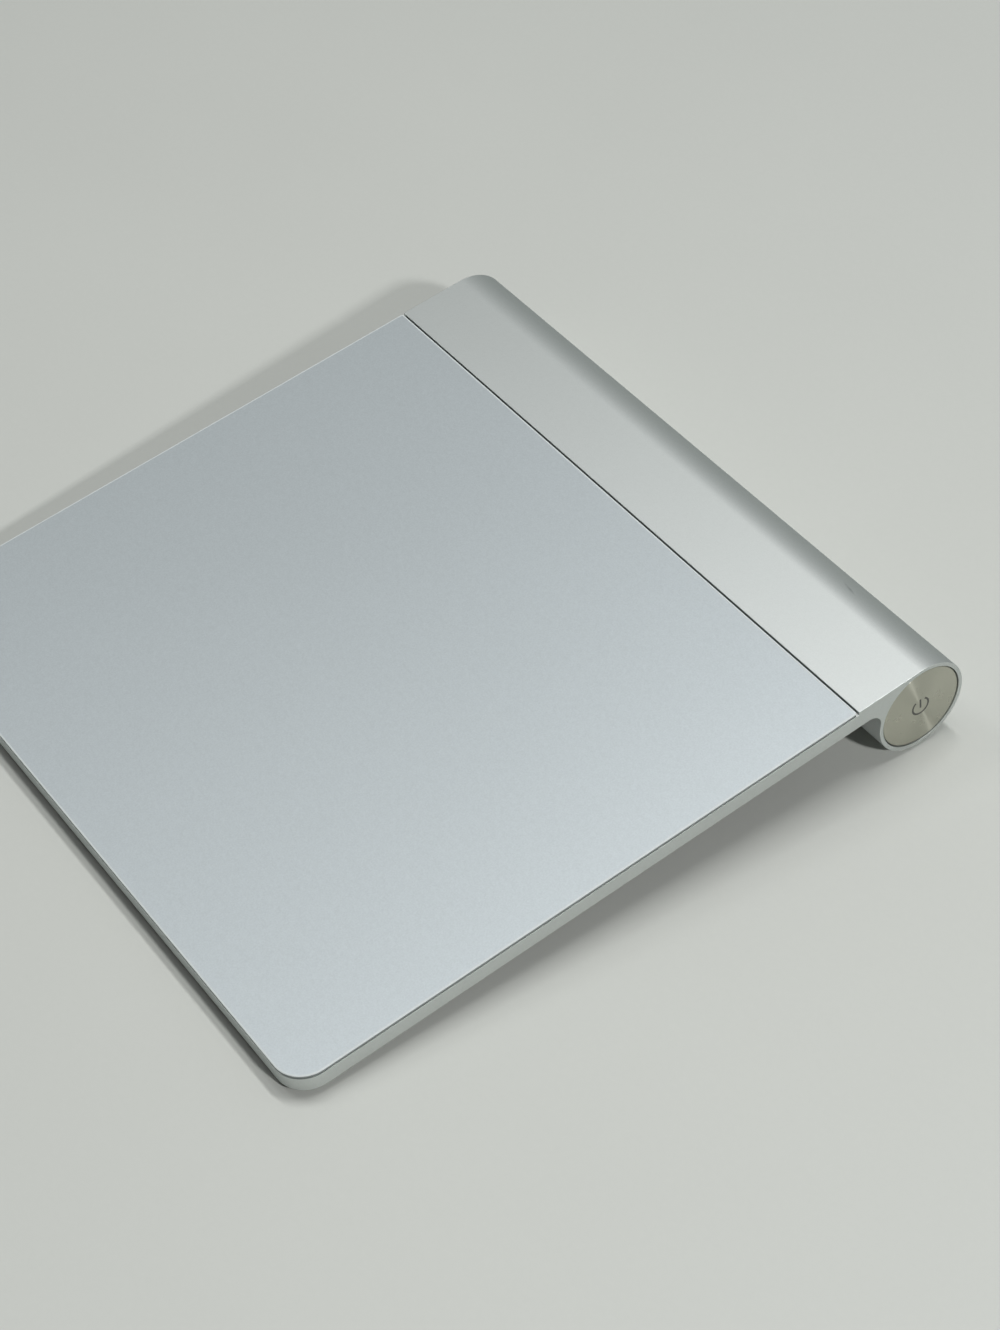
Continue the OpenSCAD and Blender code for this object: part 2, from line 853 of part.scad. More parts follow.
// A rubber foot: flange inside the cover, pad through it, cut flat on the table
module front_foot(side) {
    color(rubber_c)
        difference() {
            on_slope()
                translate([side * foot_x, foot_front, 0]) {
                    translate([0, 0, z_cover + touch_gap])
                        cylinder(d = foot_flange_d, h = z_bar_low - z_cover - touch_gap);
                    translate([0, 0, z_bar_low])
                        cylinder(d = foot_plug_d, h = bar_t - touch_gap);
                    translate([0, 0, -tube_d])
                        cylinder(d = foot_d, h = tube_d + z_bar_low);
                }
            translate([-body_w, -body_w, -2 * tube_d])
                cube([2 * body_w, 2 * body_w, 2 * tube_d]);
        }
}

module front_foot_left() {
    front_foot(-1);
}

module front_foot_right() {
    front_foot(1);
}

module rear_foot_strip() {
    end_x = half_w - rear_foot_inset - rear_foot_w / 2;
    color(rubber_c)
        translate([0, tube_y, 0])
            difference() {
                linear_extrude(height = tube_z - tube_r / 2) {
                    square([2 * end_x, rear_foot_w], center = true);
                    for (side = [-1, 1])
                        translate([side * end_x, 0])
                            circle(d = rear_foot_w);
                }
                translate([0, 0, tube_z])
                    rotate([0, 90, 0])
                        cylinder(r = tube_r, h = body_w, center = true);
            }
}

// Battery tube

module battery_sleeve() {
    color(plastic_c)
        on_slope()
            difference() {
                rod(ring_in + touch_gap, plug_in - touch_gap, bore_r - bore_gap);
                rod(ring_in - over, plug_in + over, sleeve_r);
            }
}

module cell(start) {
    rod(start, start + cell_len - nub_len, cell_r);
    rod(start + cell_len - nub_len, start + cell_len, nub_d / 2);
}

module battery_left() {
    color(cell_c)
        on_slope()
            cell(cells_start);
}

module battery_right() {
    color(cell_c)
        on_slope()
            cell(cells_mid + touch_gap);
}

module door_thread_ring() {
    root_w = thread_root_w + 2 * thread_gap;
    tip_w = thread_tip_w + 2 * thread_gap;
    color(steel_c)
        on_slope()
            difference() {
                rod(ring_out, ring_in, bore_r - bore_gap);
                rod(ring_out - over, ring_in + over, ring_r);
                helix(thread_start, -groove_out, thread_turns + groove_in, skirt_r, groove_r, root_w, tip_w);
            }
}

module contact_plug() {
    notch_w = power_ribbon_w + 2 * slot_gap;
    color(dark_plastic_c)
        on_slope()
            difference() {
                rod(plug_in, power_board_in, bore_r - bore_gap);
                translate([plug_mid - notch_w / 2, tube_run - tube_r, z_power_ribbon - ribbon_t / 2])
                    cube([notch_w, tube_r * 2 / 3, tube_r]);
            }
}

module positive_contact() {
    color(gold_c)
        on_slope()
            rod(contact_in, plug_in, contact_d / 2);
}

module power_ribbon() {
    reach = tube_run - tube_r / 3 - slot_gap - power_plug_run;
    color(ribbon_c)
        on_slope()
            translate([plug_mid - power_ribbon_w / 2, power_plug_run, z_power_ribbon - ribbon_t / 2])
                cube([power_ribbon_w, reach, ribbon_t]);
}

// Power button

module power_switch_board() {
    color(board_c)
        on_slope()
            rod(power_board_in, power_board_out, bore_r - power_board_gap);
}

module power_dome() {
    color(steel_c)
        on_slope()
            on_tube()
                translate([0, 0, power_board_out])
                    cylinder(d1 = power_dome_d, d2 = stem_d / 2, h = power_dome_h);
}

module button_collar() {
    color(dark_plastic_c)
        on_slope()
            difference() {
                rod(collar_in, collar_out, bore_r - bore_gap);
                rod(collar_in - over, collar_out + over, stem_d / 2 + stem_gap);
            }
}

module power_button() {
    color(aluminium_c)
        on_slope()
            difference() {
                union() {
                    rod(cap_back, cap_face, bore_r - button_gap);
                    rod(stem_end, cap_back, stem_d / 2);
                }
                difference() {
                    rod(clip_in - touch_gap, clip_out + touch_gap, stem_d);
                    rod(clip_in - over, clip_out + over, stem_d / 2 - clip_groove);
                }
            }
}

module button_clip() {
    groove_d = stem_d - 2 * clip_groove;
    color(steel_c)
        on_slope()
            difference() {
                rod(clip_in, clip_out, clip_d / 2);
                rod(clip_in - over, clip_out + over, groove_d / 2 + touch_gap);
                translate([clip_in - over, tube_run - groove_d * 0.45, -tube_d])
                    cube([clip_t + 2 * over, groove_d * 0.9, tube_r]);
            }
}

// Battery door

module battery_door() {
    color(aluminium_c)
        on_slope()
            difference() {
                union() {
                    rod(door_face, door_back, bore_r - door_gap);
                    rod(door_back - over, skirt_end, skirt_r);
                    helix(thread_start, 0, thread_turns, skirt_r - thread_gap, ridge_r, thread_root_w,
                        thread_tip_w);
                }
                rod(door_back, lip_start, skirt_in_r);
                rod(lip_start, lip_start + lip_w, skirt_in_r - lip_w);
                rod(lip_start + lip_w, skirt_end + over, skirt_in_r);
                translate([door_face - over, tube_run - coin_len / 2, -tube_r - coin_w / 2])
                    cube([over + coin_depth, coin_len, coin_w]);
            }
}

module spring_seat() {
    color(gold_c)
        on_slope()
            rod(seat_out, seat_in, skirt_in_r - seat_gap);
}

// A coil that narrows from the door to the cell
module negative_spring() {
    count = ceil(coil_turns * coil_steps);
    first = seat_in + touch_gap + wire_d / 2;
    last = cells_start - touch_gap - wire_d / 2;
    points = [
        for (i = [0 : count])
            let (turn = 360 * coil_turns * i / count, mid_r = coil_r + (coil_tip_r - coil_r) * i / count)
            for (k = [0 : wire_sides - 1])
                let (a = 360 * k / wire_sides, r = mid_r + wire_d / 2 * cos(a))
                [r * cos(turn), r * sin(turn), first + (last - first) * i / count + wire_d / 2 * sin(a)]
    ];
    faces = concat(
        [[for (k = [0 : wire_sides - 1]) k]],
        [for (i = [0 : count - 1], k = [0 : wire_sides - 1])
            let (a = wire_sides * i + k, b = wire_sides * i + (k + 1) % wire_sides)
            each [[a, a + wire_sides, b + wire_sides], [a, b + wire_sides, b]]],
        [[for (k = [wire_sides - 1 : -1 : 0]) wire_sides * count + k]]
    );
    color(steel_c)
        on_slope()
            on_tube()
                polyhedron(points = points, faces = faces);
}

aluminium_chassis();
touch_glass();
glass_bond();
touch_sensor_board();
sensor_ribbon();
ribbon_connectors();
logic_board();
radio_can();
board_chips();
power_coil();
radio_antenna();
board_screws();
pivot_rail();
rail_screws();
pivot_pins();
click_switch();
click_dome();
bottom_cover();
cover_tape();
rear_foot_strip();
battery_sleeve();
battery_left();
battery_right();
door_thread_ring();
contact_plug();
positive_contact();
power_switch_board();
power_dome();
button_collar();
power_ribbon();
click_bar();
click_adjuster();
front_foot_left();
front_foot_right();
power_button();
button_clip();
battery_door();
spring_seat();
negative_spring();
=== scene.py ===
import bpy
import bmesh
import math
from mathutils import Matrix, Vector


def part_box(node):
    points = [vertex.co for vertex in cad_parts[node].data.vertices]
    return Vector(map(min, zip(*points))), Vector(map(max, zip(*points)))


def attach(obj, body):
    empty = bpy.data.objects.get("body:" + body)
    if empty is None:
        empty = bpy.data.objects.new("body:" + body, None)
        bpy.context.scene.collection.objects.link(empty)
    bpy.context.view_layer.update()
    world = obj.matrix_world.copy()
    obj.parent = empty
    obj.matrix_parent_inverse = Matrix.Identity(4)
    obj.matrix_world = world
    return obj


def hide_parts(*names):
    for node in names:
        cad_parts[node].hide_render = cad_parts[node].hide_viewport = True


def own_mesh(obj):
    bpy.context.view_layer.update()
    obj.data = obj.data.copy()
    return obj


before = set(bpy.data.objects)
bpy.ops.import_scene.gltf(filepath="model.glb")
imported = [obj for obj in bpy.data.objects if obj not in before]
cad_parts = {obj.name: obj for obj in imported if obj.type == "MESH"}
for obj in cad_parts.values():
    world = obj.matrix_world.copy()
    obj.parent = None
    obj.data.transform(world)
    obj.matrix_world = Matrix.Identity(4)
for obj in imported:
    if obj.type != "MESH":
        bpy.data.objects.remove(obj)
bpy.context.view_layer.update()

# Sizes of the trackpad in millimetres, as in the part's source
HALF_W = 65.0
SLAB_T = 3.65
TILT = math.radians(6.3)
CORNER_R = 5.5
TUBE_RUN = 122.4
TUBE_R = 8.85
BORE_R = 8.1
ARMPIT_R = 2.5
GLASS_RUN = 109.2
GLASS_T = 0.55
GLASS_INSET = 0.06
GLASS_REAR_R = 0.5
SEAM_GAP = 0.3
BOND_T = 0.1
LEDGE_W = 7.0
LEDGE_Z = -1.35
WALL_W = 3.0
POCKET_REAR = 107.0
POCKET_R = 2.5
TAPE_Z = -2.95
RIM_W = 1.4
COVER_REAR = 108.6
COVER_Z = -3.05
COVER_GAP = 0.1
BAR_TOP = -1.82
BAR_LOW = -2.4
FOOT_X = 50.0
FOOT_RUN = 12.0
FOOT_R = 5.7
FOOT_FLANGE_R = 7.0
FOOT_PLUG_R = 1.5
FOOT_GAP = 0.4
STRIP_HALF = 56.0
STRIP_R = 3.5
FRAME_Z = -GLASS_T - BOND_T
BUTTON_FACE = 64.85
DOOR_FACE = -64.9
CAP_R = 7.95
EDGE_R = 0.1
SLIVER = 0.005
OVERCUT = 1.0

# Where the tube's axis lies in millimetres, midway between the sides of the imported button
button_low, button_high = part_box("power_button")
AXIS_Y = 500 * (button_low.y + button_high.y)
AXIS_Z = 500 * (button_low.z + button_high.z)
SLOPE_Y = AXIS_Y - TUBE_RUN * math.cos(TILT) - TUBE_R * math.sin(TILT)
SLOPE_Z = AXIS_Z - TUBE_RUN * math.sin(TILT) + TUBE_R * math.cos(TILT)
SLOPE = Matrix.Translation((0, SLOPE_Y, SLOPE_Z)) @ Matrix.Rotation(TILT, 4, "X")
METRES = Matrix.Scale(0.001, 4)
ON_SLOPE = METRES @ SLOPE


# Outlines

def arc(mid, radius, first, last, steps):
    """Points on an arc, in degrees, ends included."""
    turns = [math.radians(first + (last - first) * i / steps) for i in range(steps + 1)]
    return [(mid[0] + radius * math.cos(a), mid[1] + radius * math.sin(a)) for a in turns]


def circle(mid, radius, steps):
    """Points evenly round a circle, without the first one again at the end."""
    return arc(mid, radius, 0, 360 - 360 / steps, steps - 1)


def plan(half, front, rear, front_r, rear_r, steps=24):
    """A rounded rectangle seen from above, as points across and along the slope."""
    return (arc((half - front_r, front + front_r), front_r, -90, 0, steps)
            + arc((half - rear_r, rear - rear_r), rear_r, 0, 90, steps)
            + arc((rear_r - half, rear - rear_r), rear_r, 90, 180, steps)
            + arc((front_r - half, front + front_r), front_r, 180, 270, steps))


def at_height(outline, height):
    return [(x, y, height) for x, y in outline]


def chassis_section():
    """Run and height of the slab, the rabbet for the glass, the tube and the fillet under it."""
    lip, lip_steps = 0.12, 4
    tube_steps, fillet_steps = 132, 20
    seam_rear = GLASS_RUN + SEAM_GAP
    drop = TUBE_R - SLAB_T - ARMPIT_R
    reach = math.sqrt((TUBE_R + ARMPIT_R) ** 2 - drop ** 2)
    armpit_turn = math.degrees(math.atan2(drop, reach))
    armpit_run = TUBE_RUN - reach
    return ([(0.0, -SLAB_T), (0.0, FRAME_Z), (seam_rear, FRAME_Z)]
            + arc((seam_rear + lip, -lip), lip, 180, 90, lip_steps)
            + arc((TUBE_RUN, -TUBE_R), TUBE_R, 90, -180 - armpit_turn, tube_steps)
            + arc((armpit_run, -SLAB_T - ARMPIT_R), ARMPIT_R, -armpit_turn, 90, fillet_steps)[1:])


# Mesh building

def piece(name, mesh):
    made = bpy.data.objects.new(name, mesh)
    bpy.context.scene.collection.objects.link(made)
    return made


def stacked(name, rings):
    """A closed solid from rings of equal count, with both ends capped."""
    count = len(rings[0])
    corners = [p for ring in rings for p in ring]
    faces = [list(range(count))[::-1], [count * (len(rings) - 1) + k for k in range(count)]]
    for i in range(len(rings) - 1):
        for k in range(count):
            a, b = count * i + k, count * i + (k + 1) % count
            faces.append([a, b, b + count, a + count])
    mesh = bpy.data.meshes.new(name)
    mesh.from_pydata(corners, [], faces)
    made = piece(name, mesh)
    face_out(made)
    return made


def turned(name, profile, steps=144):
    """A solid turned on the tube's axis from points of station and radius, both ends on the axis."""
    shell = bmesh.new()
    turns = [2 * math.pi * k / steps for k in range(steps)]
    rings = []
    for station, radius in profile:
        if radius == 0:
            rings.append([shell.verts.new((station, TUBE_RUN, -TUBE_R))])
            continue
        ring = [(station, TUBE_RUN + radius * math.sin(a), radius * math.cos(a) - TUBE_R) for a in turns]
        rings.append([shell.verts.new(corner) for corner in ring])
    for near, far in zip(rings, rings[1:]):
        for k in range(steps):
            after = (k + 1) % steps
            if len(near) == 1:
                shell.faces.new([near[0], far[k], far[after]])
            elif len(far) == 1:
                shell.faces.new([near[k], far[0], near[after]])
            else:
                shell.faces.new([near[k], far[k], far[after], near[after]])
    mesh = bpy.data.meshes.new(name)
    shell.to_mesh(mesh)
    shell.free()
    made = piece(name, mesh)
    face_out(made)
    return made


def face_out(made):
    shell = bmesh.new()
    shell.from_mesh(made.data)
    bmesh.ops.recalc_face_normals(shell, faces=shell.faces)
    shell.to_mesh(made.data)
    shell.free()


def settle(made):
    """Takes the shape that the modifiers give as the piece's own mesh, without slivers."""
    ready = bpy.data.meshes.new_from_object(made.evaluated_get(bpy.context.evaluated_depsgraph_get()))
    made.modifiers.clear()
    made.data = ready
    shell = bmesh.new()
    shell.from_mesh(ready)
    bmesh.ops.remove_doubles(shell, verts=shell.verts, dist=SLIVER)
    bmesh.ops.dissolve_degenerate(shell, edges=shell.edges, dist=SLIVER)
    shell.to_mesh(ready)
    shell.free()


def carve(made, tools, way="DIFFERENCE"):
    """Cuts the tools out of a piece, or joins them to it."""
    for tool in tools:
        cut = made.modifiers.new("cut", "BOOLEAN")
        cut.operation = way
        cut.solver = "EXACT"
        cut.object = tool
    settle(made)
    for tool in tools:
        bpy.data.objects.remove(tool)


def break_edges(made, width, steps=2, least=35):
    """Small rounded edges, as left by deburring and blasting."""
    soft = made.modifiers.new("broken edges", "BEVEL")
    soft.limit_method = "ANGLE"
    soft.angle_limit = math.radians(least)
    soft.width = width
    soft.segments = steps
    soft.use_clamp_overlap = False
    settle(made)


def shade(made, least=32):
    """Smooth over gentle turns, sharp over corners of at least so many degrees."""
    made.data.shade_smooth()
    made.data.set_sharp_from_angle(angle=math.radians(least))
    even = made.modifiers.new("even shading", "WEIGHTED_NORMAL")
    even.keep_sharp = True
    even.weight = 100


def place(made, body, nodes, finishes, on=ON_SLOPE):
    """Puts a piece built in millimetres into the frame, on its body, in place of its CAD nodes."""
    made.data.transform(on)
    shade(made)
    made.data.materials.clear()
    for finish in finishes:
        made.data.materials.append(finish)
    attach(made, body)
    if nodes:
        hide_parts(*nodes)
    return made


# Shader node groups

def tone(red, green, blue):
    """A colour read as screen levels, as linear light."""
    levels = [c / 255 for c in (red, green, blue)]
    return [c / 12.92 if c <= 0.04045 else ((c + 0.055) / 1.055) ** 2.4 for c in levels] + [1.0]


def add(tree, kind, **settings):
    made = tree.nodes.new(kind)
    for name, value in settings.items():
        setattr(made, name, value)
    return made


def math_node(tree, operation, first, second):
    made = add(tree, "ShaderNodeMath", operation=operation)
    for socket, value in zip(made.inputs, (first, second)):
        feed(tree, value, socket)
    return made.outputs[0]


def feed(tree, value, socket):
    """Links a socket in, or sets a plain value."""
    if isinstance(value, bpy.types.NodeSocket):
        tree.links.new(value, socket)
    else:
        socket.default_value = value


def mix_colour(tree, share, under, over, blend="MIX"):
    """Two colours mixed; the node keeps its colour inputs at 6 and 7 and its colour output at 2."""
    made = add(tree, "ShaderNodeMix", data_type="RGBA", blend_type=blend)
    feed(tree, share, made.inputs[0])
    feed(tree, under, made.inputs[6])
    feed(tree, over, made.inputs[7])
    return made.outputs[2]


def spread_to(tree, value, low, high, first=0.0, last=1.0):
    made = add(tree, "ShaderNodeMapRange")
    for socket, given in zip(made.inputs, (value, first, last, low, high)):
        feed(tree, given, socket)
    return made.outputs[0]


def new_group(name, inputs, outputs):
    group = bpy.data.node_groups.new(name, "ShaderNodeTree")
    for label, kind, value in inputs:
        group.interface.new_socket(label, in_out="INPUT", socket_type=kind).default_value = value
    for label, kind in outputs:
        group.interface.new_socket(label, in_out="OUTPUT", socket_type=kind)
    return group, add(group, "NodeGroupInput"), add(group, "NodeGroupOutput")


def noise_at(tree, size, detail, rough=0.5):
    """Noise whose patches are about this many millimetres across."""
    where = add(tree, "ShaderNodeTexCoord")
    made = add(tree, "ShaderNodeTexNoise")
    made.inputs["Detail"].default_value = detail
    made.inputs["Roughness"].default_value = rough
    tree.links.new(where.outputs["Object"], made.inputs["Vector"])
    feed(tree, math_node(tree, "DIVIDE", 1000.0, size), made.inputs["Scale"])
    return made.outputs["Fac"]


def weighed(tree, first, second, share):
    """The first value by its share and the second by the rest."""
    return math_node(tree, "ADD", math_node(tree, "MULTIPLY", first, share),
                     math_node(tree, "MULTIPLY", second, 1 - share))


def make_surface_grain():
    """Fine blasted or moulded relief, and a mask of the same grain."""
    coarser = 3.2
    fine_in_relief, fine_in_mask = 0.7, 0.75
    mask_from, mask_to = 0.34, 0.66
    group, taken, given = new_group(
        "surface grain",
        [("Size", "NodeSocketFloat", 0.3)],
        [("Height", "NodeSocketFloat"), ("Mask", "NodeSocketFloat")])
    fine = noise_at(group, taken.outputs["Size"], 2.0, 0.6)
    wide = noise_at(group, math_node(group, "MULTIPLY", taken.outputs["Size"], coarser), 2.0)
    group.links.new(weighed(group, fine, wide, fine_in_relief), given.inputs["Height"])
    mixed = weighed(group, fine, wide, fine_in_mask)
    group.links.new(spread_to(group, mixed, 0.0, 1.0, mask_from, mask_to), given.inputs["Mask"])
    return group


def make_tone_drift():
    """Slow lighter and darker patches over a colour, with the grain's mask on top."""
    group, taken, given = new_group(
        "tone drift",
        [("Colour", "NodeSocketColor", (0.5, 0.5, 0.5, 1.0)), ("Drift", "NodeSocketFloat", 0.04),
         ("Patch", "NodeSocketFloat", 20.0), ("Mask", "NodeSocketFloat", 0.5),
         ("Speckle", "NodeSocketFloat", 0.02)],
        [("Colour", "NodeSocketColor")])
    slow = noise_at(group, taken.outputs["Patch"], 3.0)
    swing = math_node(group, "MULTIPLY", math_node(group, "SUBTRACT", slow, 0.5), taken.outputs["Drift"])
    grain = math_node(group, "MULTIPLY", math_node(group, "SUBTRACT", taken.outputs["Mask"], 0.5),
                      taken.outputs["Speckle"])
    level = math_node(group, "ADD", math_node(group, "ADD", swing, grain), 1.0)
    grey = add(group, "ShaderNodeCombineColor")
    for socket in grey.inputs[:3]:
        group.links.new(level, socket)
    group.links.new(mix_colour(group, 1.0, taken.outputs["Colour"], grey.outputs[0], "MULTIPLY"),
                    given.inputs["Colour"])
    return group


def make_handling():
    """Roughness that drifts where hands and cloths have been."""
    group, taken, given = new_group(
        "handling",
        [("Roughness", "NodeSocketFloat", 0.4), ("Spread", "NodeSocketFloat", 0.05),
         ("Patch", "NodeSocketFloat", 14.0)],
        [("Roughness", "NodeSocketFloat")])
    slow = noise_at(group, taken.outputs["Patch"], 4.0, 0.6)
    swing = math_node(group, "MULTIPLY", math_node(group, "SUBTRACT", slow, 0.5), taken.outputs["Spread"])
    group.links.new(math_node(group, "ADD", taken.outputs["Roughness"], swing), given.inputs["Roughness"])
    return group


surface_grain = make_surface_grain()
tone_drift = make_tone_drift()
handling = make_handling()


# Finishes

RELIEF_DEPTH = 0.0001


def placed(tree, group, **values):
    made = add(tree, "ShaderNodeGroup", node_tree=group)
    for name, value in values.items():
        feed(tree, value, made.inputs[name])
    return made


def finish(name, colour, roughness, grain, relief, drift=0.05, patch=18.0, speckle=0.03,
           spread=0.05, **plain):
    """A material with grain, drifting tone and handling; plain values go on the shader's own sockets."""
    made = bpy.data.materials.new(name)
    made.use_nodes = True
    tree = made.node_tree
    shader = tree.nodes["Principled BSDF"]
    for label, value in plain.items():
        shader.inputs[label.replace("_", " ")].default_value = value
    texture = placed(tree, surface_grain, Size=grain)
    painted = placed(tree, tone_drift, Colour=colour, Drift=drift, Patch=patch,
                     Mask=texture.outputs["Mask"], Speckle=speckle)
    worn = placed(tree, handling, Roughness=roughness, Spread=spread, Patch=patch)
    bump = add(tree, "ShaderNodeBump")
    bump.inputs["Strength"].default_value = relief
    bump.inputs["Distance"].default_value = RELIEF_DEPTH
    tree.links.new(texture.outputs["Height"], bump.inputs["Height"])
    tree.links.new(painted.outputs["Colour"], shader.inputs["Base Color"])
    tree.links.new(worn.outputs["Roughness"], shader.inputs["Roughness"])
    tree.links.new(bump.outputs["Normal"], shader.inputs["Normal"])
    return made


def part_of(made, label):
    """The group of that name in a finish."""
    return next(n for n in made.node_tree.nodes if n.type == "GROUP" and n.node_tree.name == label)


def place_on_axis(tree):
    """Position along the tube, and distance from its axis, in metres."""
    where = add(tree, "ShaderNodeTexCoord")
    parts = add(tree, "ShaderNodeSeparateXYZ")
    tree.links.new(where.outputs["Object"], parts.inputs[0])
    side = math_node(tree, "SUBTRACT", parts.outputs["Y"], AXIS_Y / 1000)
    up = math_node(tree, "SUBTRACT", parts.outputs["Z"], AXIS_Z / 1000)
    square = math_node(tree, "ADD", math_node(tree, "MULTIPLY", side, side),
                       math_node(tree, "MULTIPLY", up, up))
    return parts.outputs["X"], math_node(tree, "POWER", square, 0.5)


def blasted_aluminium():
    """Fine blasted and anodised metal, with the small scuff on top of the tube near its right end."""
    scuff_at, scuff_turn, scuff_size = (0.0429, 0.0597, 0.0177), -12, (0.0022, 0.00035, 0.004)
    scuff_strength, scuff_core, scuff_edge = 0.5, 0.2, 1.0
    made = finish("blasted aluminium", tone(231, 235, 233), roughness=0.53, grain=0.22, relief=0.06,
                  drift=0.03, patch=60.0, speckle=0.05, spread=0.05, Metallic=1.0,
                  Specular_Tint=(0.12, 0.15, 0.14, 1.0))
    tree = made.node_tree
    shader = tree.nodes["Principled BSDF"]
    shader.distribution = "GGX"
    where = add(tree, "ShaderNodeTexCoord")
    scuff = add(tree, "ShaderNodeMapping", vector_type="TEXTURE")
    scuff.inputs["Location"].default_value = scuff_at
    scuff.inputs["Rotation"].default_value = (0.0, 0.0, math.radians(scuff_turn))
    scuff.inputs["Scale"].default_value = scuff_size
    tree.links.new(where.outputs["Object"], scuff.inputs["Vector"])
    away = add(tree, "ShaderNodeVectorMath", operation="LENGTH")
    tree.links.new(scuff.outputs["Vector"], away.inputs[0])
    fading = spread_to(tree, away.outputs["Value"], scuff_strength, 0.0, scuff_core, scuff_edge)
    rubbed = math_node(tree, "MULTIPLY", fading, noise_at(tree, size=0.5, detail=2.0))
    worn = mix_colour(tree, rubbed, part_of(made, "tone drift").outputs["Colour"], tone(96, 102, 100))
    tree.links.new(worn, shader.inputs["Base Color"])
    return made


def satin_glass():
    """Etched glass over a silver back coat."""
    return finish("satin glass", tone(204, 211, 214), roughness=0.48, grain=0.3, relief=0.05,
                  drift=0.03, patch=110.0, speckle=0.09, spread=0.03, Metallic=0.7,
                  Specular_Tint=(0.4, 0.42, 0.42, 1.0))


def polished_glass_edge():
    return finish("polished glass edge", tone(124, 131, 130), roughness=0.12, grain=0.6, relief=0.01,
                  speckle=0.02, spread=0.03, IOR=1.52)


def bevel_with_painted_highlight():
    """The narrow bevel round the plate; its pale colour is a painted highlight along the rim, over the
    real gloss of its rounding.
    """
    # pale colour: painted highlight round the plate's rim
    return finish("glass bevel with painted highlight", tone(211, 217, 217), roughness=0.4, grain=0.3, relief=0.05,
                  speckle=0.05, spread=0.05, IOR=1.52)


def spun_aluminium():
    """Turned face: rings round the tube's axis, stretched highlights."""
    made = finish("spun aluminium", tone(190, 189, 176), roughness=0.28, grain=0.5, relief=0.02,
                  drift=0.05, patch=4.0, speckle=0.02, spread=0.05, Metallic=1.0, Anisotropic=1.0,
                  Anisotropic_Rotation=0.25)
    tree = made.node_tree
    shader = tree.nodes["Principled BSDF"]
    away = place_on_axis(tree)[1]
    rings = add(tree, "ShaderNodeTexNoise", noise_dimensions="1D")
    rings.inputs["Scale"].default_value = 6000.0
    rings.inputs["Detail"].default_value = 1.0
    tree.links.new(away, rings.inputs["W"])
    lathe = add(tree, "ShaderNodeBump")
    lathe.inputs["Strength"].default_value = 0.05
    lathe.inputs["Distance"].default_value = RELIEF_DEPTH
    tree.links.new(rings.outputs["Fac"], lathe.inputs["Height"])
    tree.links.new(lathe.outputs["Normal"], shader.inputs["Normal"])
    grain = part_of(made, "tone drift")
    tree.links.new(rings.outputs["Fac"], grain.inputs["Mask"])
    round_axis = add(tree, "ShaderNodeTangent", direction_type="RADIAL", axis="X")
    tree.links.new(round_axis.outputs["Tangent"], shader.inputs["Tangent"])
    return made


def sign_ink():
    return finish("sign ink", tone(74, 74, 70), roughness=0.5, grain=0.15, relief=0.03, speckle=0.1)


def black_bond():
    return finish("black bond", tone(14, 15, 16), roughness=0.7, grain=0.35, relief=0.12, speckle=0.2)


def pale_plastic():
    return finish("pale plastic", tone(180, 182, 182), roughness=0.5, grain=0.5, relief=0.16,
                  speckle=0.03, spread=0.08)


def slate_plastic():
    return finish("slate plastic", tone(70, 72, 74), roughness=0.5, grain=0.5, relief=0.16,
                  speckle=0.08, spread=0.08)


def grey_rubber():
    return finish("grey rubber", tone(136, 138, 138), roughness=0.72, grain=0.35, relief=0.2,
                  speckle=0.06, spread=0.1)


def dark_plastic():
    return finish("dark plastic", tone(34, 35, 37), roughness=0.5, grain=0.4, relief=0.15, speckle=0.12)


def pale_ceramic():
    return finish("pale ceramic", tone(232, 229, 220), roughness=0.4, grain=0.3, relief=0.08, speckle=0.05)


def plated_brass():
    return finish("plated brass", tone(226, 190, 112), roughness=0.3, grain=0.4, relief=0.04,
                  speckle=0.05, Metallic=1.0)


def rolled_steel():
    """Plain steel with the rolling lines of sheet and wire."""
    made = finish("rolled steel", tone(196, 198, 200), roughness=0.32, grain=0.3, relief=0.05,
                  drift=0.08, patch=8.0, Metallic=1.0)
    tree = made.node_tree
    where = add(tree, "ShaderNodeTexCoord")
    stretch = add(tree, "ShaderNodeMapping")
    stretch.inputs["Scale"].default_value = (60.0, 4000.0, 4000.0)
    lines = add(tree, "ShaderNodeTexNoise")
    lines.inputs["Scale"].default_value = 1.0
    tree.links.new(where.outputs["Object"], stretch.inputs["Vector"])
    tree.links.new(stretch.outputs["Vector"], lines.inputs["Vector"])
    tree.links.new(lines.outputs["Fac"], part_of(made, "tone drift").inputs["Mask"])
    return made


def masked_board():
    """Green solder mask over runs of copper, with bare pads."""
    pad_r, pad_edge = 0.13, 0.16
    made = finish("masked board", tone(30, 92, 62), roughness=0.38, grain=0.25, relief=0.05,
                  drift=0.12, patch=6.0)
    tree = made.node_tree
    where = add(tree, "ShaderNodeTexCoord")
    runs = add(tree, "ShaderNodeTexBrick")
    runs.inputs["Color1"].default_value = tone(34, 104, 70)
    runs.inputs["Color2"].default_value = tone(28, 86, 58)
    runs.inputs["Mortar"].default_value = tone(58, 138, 92)
    runs.inputs["Scale"].default_value = 500.0
    runs.inputs["Mortar Size"].default_value = 0.06
    tree.links.new(where.outputs["Object"], runs.inputs["Vector"])
    pads = add(tree, "ShaderNodeTexVoronoi")
    pads.inputs["Scale"].default_value = 420.0
    tree.links.new(where.outputs["Object"], pads.inputs["Vector"])
    bare = spread_to(tree, pads.outputs["Distance"], 1.0, 0.0, pad_r, pad_edge)
    tree.links.new(mix_colour(tree, bare, runs.outputs["Color"], tone(206, 176, 108)),
                   part_of(made, "tone drift").inputs["Colour"])
    return made


